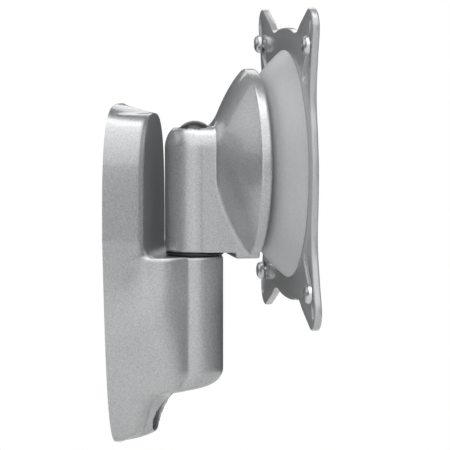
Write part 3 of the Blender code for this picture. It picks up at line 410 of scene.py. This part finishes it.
def lathe(name, outline, steps=96, open_ends=False):
    """Spins an outline of (radius, height) points about Z; with open_ends its ends lie on the axis."""
    bpy.ops.object.select_all(action="DESELECT")
    bpy.ops.mesh.primitive_circle_add(vertices=len(outline), radius=0.01)
    piece = bpy.context.object
    piece.name = name
    for vertex, (radius, height) in zip(piece.data.vertices, outline):
        vertex.co = (radius, 0, height)
    if open_ends:
        bpy.ops.object.mode_set(mode="EDIT")
        bpy.ops.mesh.select_mode(type="EDGE")
        bpy.ops.mesh.select_all(action="DESELECT")
        bpy.ops.object.mode_set(mode="OBJECT")
        for edge in piece.data.edges:
            edge.select = set(edge.vertices) == {0, len(outline) - 1}
        bpy.ops.object.mode_set(mode="EDIT")
        bpy.ops.mesh.delete(type="EDGE")
        bpy.ops.mesh.select_mode(type="VERT")
    else:
        bpy.ops.object.mode_set(mode="EDIT")
    bpy.ops.mesh.select_all(action="SELECT")
    bpy.ops.mesh.spin(steps=steps, angle=math.tau, center=(0, 0, 0), axis=(0, 0, 1))
    bpy.ops.mesh.select_all(action="SELECT")
    bpy.ops.mesh.remove_doubles(threshold=2e-6)
    bpy.ops.mesh.select_all(action="SELECT")
    bpy.ops.mesh.normals_make_consistent(inside=False)
    bpy.ops.object.mode_set(mode="OBJECT")
    return piece


def placed(piece, matrix):
    """Moves a piece into place and leaves the place in its mesh."""
    only(piece)
    piece.matrix_world = matrix
    bpy.ops.object.transform_apply(location=True, rotation=True, scale=True)
    return piece


def curve_round(centre, radius, start, end, count):
    """Points on an arc between two angles in degrees."""
    points = []
    for i in range(count + 1):
        angle = math.radians(mix(start, end, i / count))
        points.append((centre[0] + radius * math.cos(angle), centre[1] + radius * math.sin(angle)))
    return points


foot_step = 15.5 * mm
levels = []
for distance in (-2, 1, 4, 6, 7.5):
    levels.append(arm_level(distance * mm, hub_foot))
for step in range(17):
    levels.append(arm_level(mix(bowl_back, foot_step, step / 16), hub_foot))
for step in range(15):
    levels.append(arm_level(mix(foot_step, rim_back, step / 14), bowl_foot))
for back, trim in ((4.29, 0), (3.5, 0), (2, 0), (0.6, 0), (0.3, 0.06), (0.1, 0.25), (0, 0.6)):
    levels.append(arm_level(rim_front - back * mm, bowl_foot, trim * mm))
arm_casting = skin_over("arm_casting_skin", levels)
hub = [(0, hub_foot), (hub_radius - 0.8 * mm, hub_foot), (hub_radius, hub_foot + 0.8 * mm)]
for radius, height in curve_round((0, 0), 1, 0, 90, 16):
    hub.append((hub_radius + (radius - 1) * hub_round[0], hub_top + (height - 1) * hub_round[1]))
hub.append((0, hub_top))
combine(arm_casting, lathe("hub", hub, 128, True), "UNION")
combine(arm_casting, drill(7.3 * mm, -0.02, 0.1, (0, 0, 0)))
combine(arm_casting, drill(8.3 * mm, hub_top - cap_well, 0.1, (0, 0, 0)))
bpy.ops.mesh.primitive_uv_sphere_add(segments=160, ring_count=80, radius=seat_radius,
                                     location=(0, -ball_distance, bowl_height),
                                     rotation=(math.radians(90), 0, 0))
combine(arm_casting, bpy.context.object)
clamp_hole_back = 8.5 * mm
combine(arm_casting, drill(4.3 * mm, -0.06, -clamp_hole_back, (0, 0, bowl_height), "Y"))
placed(arm_casting, arm_turn)
cast_skin(arm_casting, 0.5 * mm, 3)
paint(arm_casting, silver_enamel)
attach(arm_casting, "arm")
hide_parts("arm_casting")

# ------------------------------------------------------------------ dome
# The ball half of the joint: a dish pressed from steel sheet and sprayed in a flatter grey, with a hole in
# its middle for the clamp bolt, four tapped lugs inside, and a base edge that stands on the plate.

tilt_axis, pan_axis = Vector(tilt["axis"]), Vector(pan["axis"])
head_axes = Matrix((tilt_axis, pan_axis.cross(tilt_axis), pan_axis)).transposed().to_4x4()
towards_arm = Matrix.Rotation(math.radians(-90), 4, "X")
head_place = Matrix.Translation(ball_centre) @ head_axes @ towards_arm
plate_back = 39.243 * mm
dome_radius, dome_inside = 62 * mm, 59 * mm
dome_base = 48 * mm
edge_gap = 0.06 * mm


def on_ball(radius, start, end, count):
    """Part of a meridian of the ball, angles from its axis."""
    angles = [math.radians(mix(start, end, i / count)) for i in range(count + 1)]
    return [(radius * math.sin(angle), radius * math.cos(angle)) for angle in angles]


outer_base = math.degrees(math.asin(dome_base / dome_radius))
inner_base = math.degrees(math.acos((plate_back + edge_gap) / dome_inside))
shell = on_ball(dome_radius, 18.8, outer_base - 1.3, 40)
shell += [(dome_base - 0.25 * mm, plate_back + 0.35 * mm), (dome_base - 0.3 * mm, plate_back + edge_gap)]
shell += on_ball(dome_inside, inner_base, 19.6, 40)
shell += on_ball(59.4 * mm, 19.1, 19.1, 1)[:1]
dome = lathe("dome_skin", shell, 160)
lug_pitch = 39.5 * mm
dome_screw_places = [(lug_pitch, 0), (0, lug_pitch), (-lug_pitch, 0), (0, -lug_pitch)]
for x, y in dome_screw_places:
    bpy.ops.object.select_all(action="DESELECT")
    bpy.ops.mesh.primitive_uv_sphere_add(segments=96, ring_count=48, radius=(dome_radius + dome_inside) / 2)
    inside_shell = bpy.context.object
    lug = drill(4 * mm, plate_back + edge_gap, 60 * mm, (x, y, 0), steps=40)
    combine(lug, inside_shell, "INTERSECT")
    combine(dome, lug, "UNION")
    combine(dome, drill(2.1 * mm, plate_back - 2 * mm, plate_back + 5.3 * mm, (x, y, 0), steps=24))
placed(dome, head_place)
bpy.ops.object.shade_smooth_by_angle(angle=math.radians(35))
# The dome's enamel has few flakes and hardly any film, so it looks even and almost matt.
dome_enamel = metallic_enamel("grey_dome_enamel", "B5B7B9", "CBCCCD", 0.3, 0.5, 0.15, 0.3, 0.2)
paint(dome, dome_enamel)
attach(dome, "head")
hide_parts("dome")

# ------------------------------------------------------------------ mounting plate
# The plate that the screen is screwed to: blanked from steel sheet with four ears, its cut edges rolled
# round, diagonal slots for both common screw squares, and a darker grey enamel with more gloss.

plate_thick = 3 * mm
small_square, large_square = 37.5, 50


def quarter_of_plate():
    """A quarter of the outline, in millimetres, from the top edge's bump over the ear to the side's bump."""
    ear = list(reversed(curve_round((48.4, 56.7), 8.4, 8, 120, 6)))
    top = [(0, 57.1), (11.75, 56.6), (23.5, 55.4), (31.5, 58.9)]
    side = [(53.4, 45.5), (50, 30), (51.98, 13.5), (53.2, 0)]
    return top + ear + side


def slot(sign_x, sign_y):
    """A slot from the small screw square to the large one, where it bends up into the ear."""
    half_width, bend_place = 2.4, (large_square, large_square)
    end = (large_square + 2.6, large_square + 8.2)
    heading = math.degrees(math.atan2(8.2, 2.6))
    half_bend = (heading - 45) / 2
    inner = half_width / math.cos(math.radians(half_bend))
    points = curve_round((small_square, small_square), half_width, 135, 315, 12)
    points += curve_round(bend_place, half_width, -45, heading - 90, 3)
    points += curve_round(end, half_width, heading - 90, heading + 90, 12)
    points += curve_round(bend_place, inner, 135 + half_bend, 135 + half_bend, 1)[:1]
    return [(sign_x * x, sign_y * y) for x, y in points]


def outline(curve, points, smooth):
    """Adds one closed outline, given in millimetres, smooth or straight between its points."""
    spline = curve.splines.new("BEZIER" if smooth else "POLY")
    knots = spline.bezier_points if smooth else spline.points
    knots.add(len(points) - 1)
    for knot, (x, y) in zip(knots, points):
        knot.co = (x * mm, y * mm, 0) if smooth else (x * mm, y * mm, 0, 1)
        if smooth:
            knot.handle_left_type = knot.handle_right_type = "AUTO"
    spline.use_cyclic_u = True
    spline.resolution_u = 14


bpy.ops.object.select_all(action="DESELECT")
bpy.ops.curve.primitive_bezier_circle_add(radius=0.01)
plate = bpy.context.object
plate.name = "mounting_plate_skin"
plate.data.splines.clear()
roll_radius = 0.7 * mm
plate.data.dimensions = "2D"
plate.data.fill_mode = "BOTH"
plate.data.extrude = plate_thick / 2 - roll_radius
plate.data.bevel_depth = roll_radius
plate.data.bevel_resolution = 3
plate.data.offset = -roll_radius
quarter = quarter_of_plate()
right = quarter + [(x, -y) for x, y in reversed(quarter[:-1])]
outline(plate.data, right + [(-x, y) for x, y in reversed(right[1:-1])], True)
for sign_x in (-1, 1):
    for sign_y in (-1, 1):
        outline(plate.data, slot(sign_x, sign_y), False)
outline(plate.data, curve_round((0, 0), 9, 0, 354, 59), False)
only(plate)
bpy.ops.object.convert(target="MESH")
plate = bpy.context.object
bpy.ops.object.mode_set(mode="EDIT")
bpy.ops.mesh.select_all(action="SELECT")
bpy.ops.mesh.remove_doubles(threshold=1e-6)
bpy.ops.mesh.normals_make_consistent(inside=False)
bpy.ops.object.mode_set(mode="OBJECT")
for x, y in dome_screw_places:
    bpy.ops.object.select_all(action="DESELECT")
    bpy.ops.mesh.primitive_cone_add(vertices=48, radius1=2.1 * mm, radius2=4 * mm,
                                    depth=plate_thick + 0.6 * mm, location=(x, y, 0))
    combine(plate, bpy.context.object)
turned_over = Matrix.Rotation(math.radians(180), 4, "X")
placed(plate, head_place @ Matrix.Translation((0, 0, plate_back - plate_thick / 2)) @ turned_over)
bpy.ops.object.shade_smooth_by_angle(angle=math.radians(40))
# The plate's enamel is a plain grey with more gloss, so it reads dark where it mirrors the room.
plate_enamel = metallic_enamel("dark_plate_enamel", "ABACAE", "BEBFC1", 0.35, 0.36, 0.8, 0.1, 0.15)
paint(plate, plate_enamel)
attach(plate, "head")
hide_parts("mounting_plate")

# ------------------------------------------------------------------ screws
# Cold-headed steel screws with a cross recess, bright zinc plated: four pan heads that stand in the slots,
# four countersunk ones that hold the dome, and two small ones in the keyhole plate.


# Plated or bare bright metal. Cloudy patches and fine scratches from handling break up its mirror, so the eye
# sees small soft glints. Real scratches are a few hundredths of a millimetre; they are drawn coarser to show.
def bright_metal(name, dark, light, scratch):
    material, tree = new_material(name)
    place = {"Vector": add_node(tree, "TexCoord").outputs["Object"]}
    patch, rough = 3.85 * mm, 0.34
    clouds = add_node(tree, "TexNoise", {"Scale": 1 / patch, "Detail": 4, "Roughness": 0.6}, place)
    scratches = add_node(tree, "TexNoise", {"Scale": 1 / scratch, "Detail": 2, "Distortion": 1.5}, place)
    colour = add_node(tree, "Mix", {"data_type": "RGBA", 6: linear(dark), 7: linear(light)},
                      {0: clouds.outputs["Fac"]})
    gloss = add_node(tree, "MapRange", {"From Min": 0.35, "From Max": 0.65,
                                        "To Min": rough - 0.06, "To Max": rough + 0.08},
                     {"Value": clouds.outputs["Fac"]})
    bump = add_node(tree, "Bump", {"Strength": 0.12, "Distance": 0.04 * mm},
                    {"Height": scratches.outputs["Fac"]})
    shader = add_node(tree, "BsdfPrincipled", {"Metallic": 1},
                      {"Base Color": colour.outputs[2], "Roughness": gloss.outputs[0],
                       "Normal": bump.outputs[0]})
    add_node(tree, "OutputMaterial", {}, {"Surface": shader.outputs[0]})
    return material


zinc_plate = bright_metal("bright_zinc_plate", "C2C4C6", "E2E3E4", 0.556 * mm)


def cross_recess(piece, top, width, blade, depth):
    """Two tapered blades pressed into the middle of a head."""
    for turn in (0, 90):
        bpy.ops.object.select_all(action="DESELECT")
        bpy.ops.mesh.primitive_cone_add(vertices=4, radius1=blade * 0.45, radius2=width * 0.7071,
                                        depth=depth * 2, location=(0, 0, top),
                                        rotation=(0, 0, math.radians(45)))
        cutter = bpy.context.object
        bpy.ops.object.transform_apply(location=True, rotation=True, scale=True)
        bpy.ops.object.mode_set(mode="EDIT")
        bpy.ops.mesh.select_all(action="SELECT")
        bpy.ops.transform.resize(value=(1, blade / width, 1), center_override=(0, 0, top))
        bpy.ops.object.mode_set(mode="OBJECT")
        placed(cutter, Matrix.Rotation(math.radians(turn), 4, "Z"))
        combine(piece, cutter)
    return piece


seat = plate_back + 0.3 * mm
face = plate_back - plate_thick + 0.3 * mm
head_top = seat + 2.9 * mm
pan_head = [(0, face), (1.6 * mm, face), (2 * mm, face + 0.4 * mm), (2 * mm, seat), (3.75 * mm, seat)]
for radius, rise in ((4, 0.25), (4, 0.8), (3.9, 1.25), (3.6, 1.8), (3.1, 2.3), (2.4, 2.65), (1.4, 2.85)):
    pan_head.append((radius * mm, seat + rise * mm))
pan_head.append((0, head_top))
pan_screw = lathe("pan_screw", pan_head, 64, True)
cross_recess(pan_screw, head_top, 2.3 * mm, 0.75 * mm, 1.6 * mm)
for vertical, sign_y in (("upper", 1), ("lower", -1)):
    for side, sign_x in (("near", -1), ("far", 1)):
        only(pan_screw)
        bpy.ops.object.duplicate()
        screw = bpy.context.object
        screw.name = "screw_" + vertical + "_" + side + "_skin"
        place = Matrix.Translation((sign_x * large_square * mm, -sign_y * large_square * mm, 0))
        placed(screw, head_place @ place @ Matrix.Rotation(sign_x * 0.5 + sign_y * 0.2, 4, "Z"))
        bpy.ops.object.shade_smooth_by_angle(angle=math.radians(32))
        paint(screw, zinc_plate)
        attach(screw, "head")
        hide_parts("screw_" + vertical + "_" + side)
bpy.data.objects.remove(pan_screw)

sunk_tip = face + 6.5 * mm
sunk_head = [(0, face), (3.3 * mm, face), (3.4 * mm, face + 0.2 * mm), (1.8 * mm, face + 1.9 * mm),
             (1.8 * mm, sunk_tip - 0.4 * mm), (1.4 * mm, sunk_tip), (0, sunk_tip)]
sunk_screw = lathe("sunk_screw", sunk_head, 56, True)
head_up = Matrix.Translation((0, 0, 2 * face)) @ turned_over
placed(sunk_screw, head_up)
cross_recess(sunk_screw, face, 1.9 * mm, 0.65 * mm, 1.2 * mm)
placed(sunk_screw, head_up)
for side, (x, y) in zip(("right", "bottom", "left", "top"), dome_screw_places):
    only(sunk_screw)
    bpy.ops.object.duplicate()
    screw = bpy.context.object
    screw.name = "dome_screw_" + side + "_skin"
    placed(screw, head_place @ Matrix.Translation((x, y, 0)) @ Matrix.Rotation(x * 20 + 0.4, 4, "Z"))
    bpy.ops.object.shade_smooth_by_angle(angle=math.radians(32))
    paint(screw, zinc_plate)
    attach(screw, "head")
    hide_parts("dome_screw_" + side)
bpy.data.objects.remove(sunk_screw)

# ------------------------------------------------------------------ pivot cap and thrust washer
# A dark moulded cap snaps over the bolt head, its crown just above the hub. The black nylon washer between
# hub and shelf carries the arm's weight, and its rounded edge shows as a dark line.


# Injection-moulded plastic. The fine even texture of its mould gives the eye one broad dull highlight. The
# real texture has a pitch near 0.1 mm; it is drawn at about a millimetre so that it shows.
def moulded(name, dark, light, rough, pore):
    material, tree = new_material(name)
    place = add_node(tree, "TexCoord").outputs["Object"]
    grain = add_node(tree, "TexNoise", {"Scale": 1 / pore, "Detail": 3, "Roughness": 0.6}, {"Vector": place})
    colour = add_node(tree, "Mix", {"data_type": "RGBA", 6: linear(dark), 7: linear(light)},
                      {0: grain.outputs["Fac"]})
    gloss = add_node(tree, "MapRange", {"From Min": 0.35, "From Max": 0.65,
                                        "To Min": rough - 0.05, "To Max": rough + 0.08},
                     {"Value": grain.outputs["Fac"]})
    bump = add_node(tree, "Bump", {"Strength": 0.15, "Distance": 0.05 * mm}, {"Height": grain.outputs["Fac"]})
    shader = add_node(tree, "BsdfPrincipled", {"IOR": 1.5},
                      {"Base Color": colour.outputs[2], "Roughness": gloss.outputs[0],
                       "Normal": bump.outputs[0]})
    add_node(tree, "OutputMaterial", {}, {"Surface": shader.outputs[0]})
    return material


cap_radius, cap_bore = 7.5 * mm, 6.9 * mm
cap_shoulder, crown_height = hub_top - 4.5 * mm, 6.6 * mm
cap_foot = hub_top - cap_well + 1.9 * mm
bolt_head_top = cap_foot + 4.5 * mm
cap_outline = [(0, cap_shoulder + crown_height)]
for i in range(1, 17):
    angle = math.radians(90 * i / 16)
    cap_outline.append((cap_radius * math.sin(angle), cap_shoulder + crown_height * math.cos(angle)))
cap_outline += [(cap_radius, cap_foot + 0.1 * mm), (cap_radius - 0.1 * mm, cap_foot), (cap_bore, cap_foot),
                (cap_bore, bolt_head_top), (0, bolt_head_top)]
pivot_cap = lathe("pivot_cap_skin", cap_outline, 96, True)
placed(pivot_cap, Matrix.Translation(pivot_centre))
bpy.ops.object.shade_smooth_by_angle(angle=math.radians(35))
paint(pivot_cap, moulded("grey_cap_polycarbonate", "2C2C2D", "3A3A3B", 0.3, 1.11 * mm))
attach(pivot_cap, "wall")
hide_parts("pivot_cap")

washer_foot, washer_thick, washer_bore = shelf_height + 0.3 * mm, 1.3 * mm, 5.3 * mm
washer_outline = [(washer_bore, washer_foot + washer_thick), (washer_bore, washer_foot)]
washer_outline += curve_round((11.6 * mm, washer_foot + washer_thick / 2), washer_thick / 2, -90, 90, 8)
washer = lathe("thrust_washer_skin", washer_outline, 96)
placed(washer, Matrix.Translation(pivot_centre))
bpy.ops.object.shade_smooth_by_angle(angle=math.radians(35))
paint(washer, moulded("black_nylon", "0E0E0F", "17171A", 0.42, 0.909 * mm))
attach(washer, "wall")
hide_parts("thrust_washer")

# ------------------------------------------------------------------ hidden works
# What is turned or stamped and sits inside keeps its plain machined shape and only gets its finish: zinc
# plated bolts, nut and washers, oiled spring steel discs, and natural acetal bushes and liners.

# Spring steel is darker than plating under its oil; natural acetal is a milky, slightly waxy white.
spring_steel = bright_metal("oiled_spring_steel", "5C5D60", "77787B", 0.714 * mm)
natural_acetal = moulded("natural_acetal", "CFCEC6", "DEDDD6", 0.42, 1.43 * mm)
zinc_plated = ("keyhole_plate", "keyhole_screw_left", "keyhole_screw_right", "pivot_bolt", "pivot_nut",
               "pivot_washer", "clamp_cup", "tension_bolt")
steel_discs = ("pivot_spring_upper", "pivot_spring_lower", "tension_spring_inner", "tension_spring_outer")
acetal_pieces = ("upper_bush", "lower_bush", "outer_liner", "inner_liner")
for names, finish in ((zinc_plated, zinc_plate), (steel_discs, spring_steel),
                      (acetal_pieces, natural_acetal)):
    for part in names:
        paint(frame["nodes"][part], finish)

# ------------------------------------------------------------------ studio
# Nothing here is part of the mount: a pale floor well below it, one large softbox high behind the camera, a
# low strip under that, weak light from the wall side, from overhead and from the far side, and a long lens.

bpy.ops.object.select_all(action="DESELECT")
bpy.ops.mesh.primitive_circle_add(vertices=128, radius=0.85, fill_type="NGON", location=(-0.45, -0.05, -0.17))
floor = bpy.context.object
floor.name = "floor"
# Matt white paper: it gives the eye a faint soft shadow and no reflection.
floor_paper, tree = new_material("floor_paper")
place = add_node(tree, "TexCoord").outputs["Object"]
fibre_clump = 3.333 * mm
fibre = add_node(tree, "TexNoise", {"Scale": 1 / fibre_clump, "Detail": 3}, {"Vector": place})
colour = add_node(tree, "Mix", {"data_type": "RGBA", 6: linear("EDEDEC"), 7: linear("F4F4F3")},
                  {0: fibre.outputs["Fac"]})
shader = add_node(tree, "BsdfPrincipled", {"Roughness": 0.9}, {"Base Color": colour.outputs[2]})
add_node(tree, "OutputMaterial", {}, {"Surface": shader.outputs[0]})
paint(floor, floor_paper)

middle = Vector((0, -0.045, 0.02))


def softbox(name, direction, distance, size, power):
    """A rectangular light that looks at the middle of the mount from this azimuth and elevation."""
    azimuth, height = (math.radians(value) for value in direction)
    level = math.cos(height)
    way = Vector((math.sin(azimuth) * level, -math.cos(azimuth) * level, math.sin(height)))
    bpy.ops.object.light_add(type="AREA", location=middle + way * distance)
    light = bpy.context.object
    light.name = name
    light.data.shape = "RECTANGLE"
    light.data.size, light.data.size_y = size
    light.data.energy = power
    light.rotation_euler = way.to_track_quat("Z", "Y").to_euler()


softbox("key_softbox", (-74, 50), 1.25, (1.95, 1.82), 17.5)
softbox("low_fill", (-84, 2), 1.4, (1.5, 0.6), 2.6)
softbox("wall_bounce", (-178, 25), 1.2, (1.2, 0.8), 2.8)
softbox("overhead", (-100, 82), 1.1, (1.1, 0.5), 4)
softbox("far_card", (100, 32), 1.2, (1.2, 0.5), 3)

world = bpy.data.worlds.new("studio")
bpy.context.scene.world = world
world.use_nodes = True
tree = world.node_tree
tree.nodes.clear()
seen = add_node(tree, "LightPath").outputs["Is Camera Ray"]
around = add_node(tree, "Background", {"Color": (1, 1, 1, 1), "Strength": 0.08})
behind = add_node(tree, "Background", {"Color": (1, 1, 1, 1), "Strength": 1.0})
both = add_node(tree, "MixShader", {}, {0: seen, 1: around.outputs[0], 2: behind.outputs[0]})
add_node(tree, "OutputWorld", {}, {"Surface": both.outputs[0]})
bpy.context.scene.view_settings.view_transform = "Standard"

camera_data = bpy.data.cameras.new("camera")
camera_data.lens = 197.9
camera_data.sensor_width = 36
camera_data.clip_start = 0.05
camera = bpy.data.objects.new("camera", camera_data)
bpy.context.scene.collection.objects.link(camera)
camera.location = (-1.01134, -0.25310, 0.10339)
back = Vector((-0.97642, -0.20043, 0.08020))
camera.rotation_euler = back.to_track_quat("Z", "Y").to_euler()
bpy.context.scene.camera = camera
